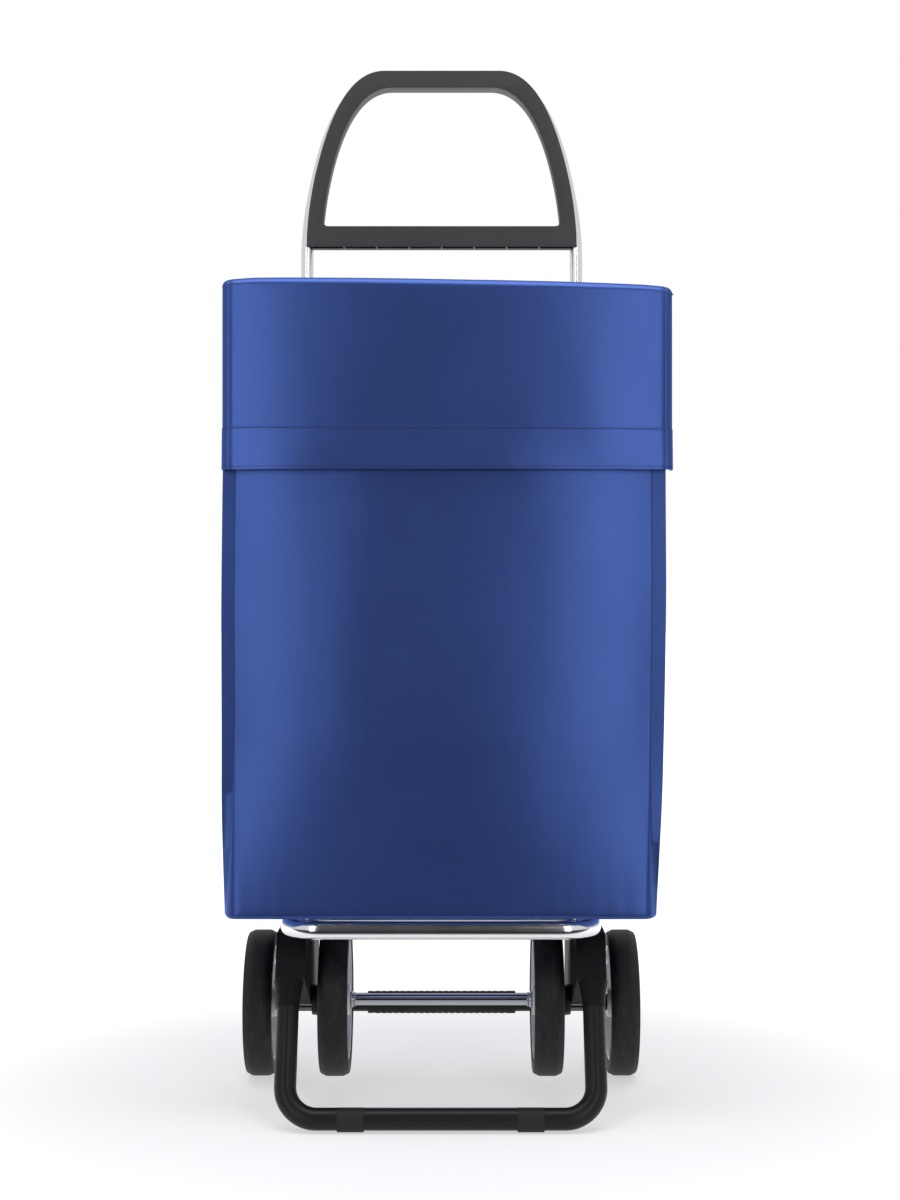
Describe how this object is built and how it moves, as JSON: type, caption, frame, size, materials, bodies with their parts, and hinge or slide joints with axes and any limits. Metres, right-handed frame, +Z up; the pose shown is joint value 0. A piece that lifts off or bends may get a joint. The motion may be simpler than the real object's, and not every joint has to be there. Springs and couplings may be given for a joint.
{
  "type": "shopping trolley",
  "caption": "Upright folding shopping trolley: fabric bag with flap on an aluminium arch frame, foot bar, two main wheels and a swinging pair of auxiliary wheels.",
  "frame": {"origin": "middle of the outline on the floor, under the trolley standing on its main wheels and foot bar", "axes": "+X to the right seen from the front, -Y towards the bag's front, +Z up"},
  "size_m": [0.421, 0.3238, 1.0478],
  "materials": {
    "aluminium_tube": "bright drawn and polished",
    "chromed_steel": "bright chrome",
    "zinc_steel": "zinc plated",
    "black_steel": "satin black powder coat",
    "handle_plastic": "fine-grained charcoal moulding",
    "bracket_plastic": "satin black moulding",
    "black_rubber": "matt soft rubber",
    "tyre_rubber": "matt black tread",
    "rim_plastic": "light grey moulding",
    "bush_nylon": "natural nylon",
    "bag_fabric": "royal blue plain-weave polyester with a soft sheen",
    "webbing": "black woven webbing",
    "stiffening_board": "brown fibreboard"
  },
  "bodies": {
    "chassis": {"frame_tube": "aluminium_tube", "handle_grip": "handle_plastic", "grip_screw_l": "zinc_steel", "grip_screw_r": "zinc_steel", "bag_rail": "aluminium_tube", "lower_brace": "aluminium_tube", "hanger_loop_l": "webbing", "hanger_loop_r": "webbing", "side_bracket_l": "bracket_plastic", "side_bracket_r": "bracket_plastic", "main_axle": "zinc_steel", "axle_spacer_l": "bracket_plastic", "axle_spacer_r": "bracket_plastic", "axle_cap_l": "bracket_plastic", "axle_cap_r": "bracket_plastic", "foot_tube": "black_steel", "foot_pad_l": "black_rubber", "foot_pad_r": "black_rubber", "leg_screw_l": "zinc_steel", "leg_screw_r": "zinc_steel", "platform_pin_l": "zinc_steel", "platform_pin_r": "zinc_steel", "bag_body": "bag_fabric", "bag_tape": "webbing"},
    "platform": {"platform_loop": "aluminium_tube", "platform_slat": "aluminium_tube", "base_board": "stiffening_board", "bag_tab_l": "bag_fabric", "bag_tab_r": "bag_fabric", "snap_stud_l": "chromed_steel", "snap_stud_r": "chromed_steel"},
    "flap": {"flap_panel": "bag_fabric", "flap_tape": "webbing", "flap_stiffener": "stiffening_board"},
    "carriage": {"torsion_tube": "black_steel", "torsion_bush_l": "bush_nylon", "torsion_bush_r": "bush_nylon", "pedal_sleeve": "black_rubber", "carriage_arm_l": "black_steel", "carriage_arm_r": "black_steel", "aux_axle": "chromed_steel", "aux_collar_l": "chromed_steel", "aux_collar_r": "chromed_steel"},
    "wheel_main_l": {"wheel_main_l_tyre": "tyre_rubber", "wheel_main_l_rim": "rim_plastic", "wheel_main_l_bush": "bush_nylon"},
    "wheel_main_r": {"wheel_main_r_tyre": "tyre_rubber", "wheel_main_r_rim": "rim_plastic", "wheel_main_r_bush": "bush_nylon"},
    "wheel_aux_l": {"wheel_aux_l_tyre": "tyre_rubber", "wheel_aux_l_rim": "rim_plastic", "wheel_aux_l_bush": "bush_nylon"},
    "wheel_aux_r": {"wheel_aux_r_tyre": "tyre_rubber", "wheel_aux_r_rim": "rim_plastic", "wheel_aux_r_bush": "bush_nylon"}
  },
  "joints": [
    {"name": "platform_fold", "type": "hinge", "parent": "chassis", "child": "platform", "pos_m": [0, 0.04, 0.184], "axis": [-1, 0, 0], "range_deg": [0, 90], "deforming": ["bag_body", "bag_tape", "flap_panel", "flap_tape", "flap_stiffener"]},
    {"name": "flap_lift", "type": "hinge", "parent": "chassis", "child": "flap", "pos_m": [0, 0.08, 0.7966], "axis": [-1, 0, 0], "range_deg": [0, 90]},
    {"name": "carriage_swing", "type": "hinge", "parent": "chassis", "child": "carriage", "pos_m": [0, 0.087, 0.075], "axis": [1, 0, 0], "range_deg": [0, 25]},
    {"name": "wheel_main_l_spin", "type": "hinge", "parent": "chassis", "child": "wheel_main_l", "pos_m": [-0.1869, 0.087, 0.075], "axis": [1, 0, 0], "continuous": true},
    {"name": "wheel_main_r_spin", "type": "hinge", "parent": "chassis", "child": "wheel_main_r", "pos_m": [0.1869, 0.087, 0.075], "axis": [1, 0, 0], "continuous": true},
    {"name": "wheel_aux_l_spin", "type": "hinge", "parent": "carriage", "child": "wheel_aux_l", "pos_m": [-0.1055, -0.003, 0.095], "axis": [1, 0, 0], "continuous": true},
    {"name": "wheel_aux_r_spin", "type": "hinge", "parent": "carriage", "child": "wheel_aux_r", "pos_m": [0.1055, -0.003, 0.095], "axis": [1, 0, 0], "continuous": true}
  ]
}
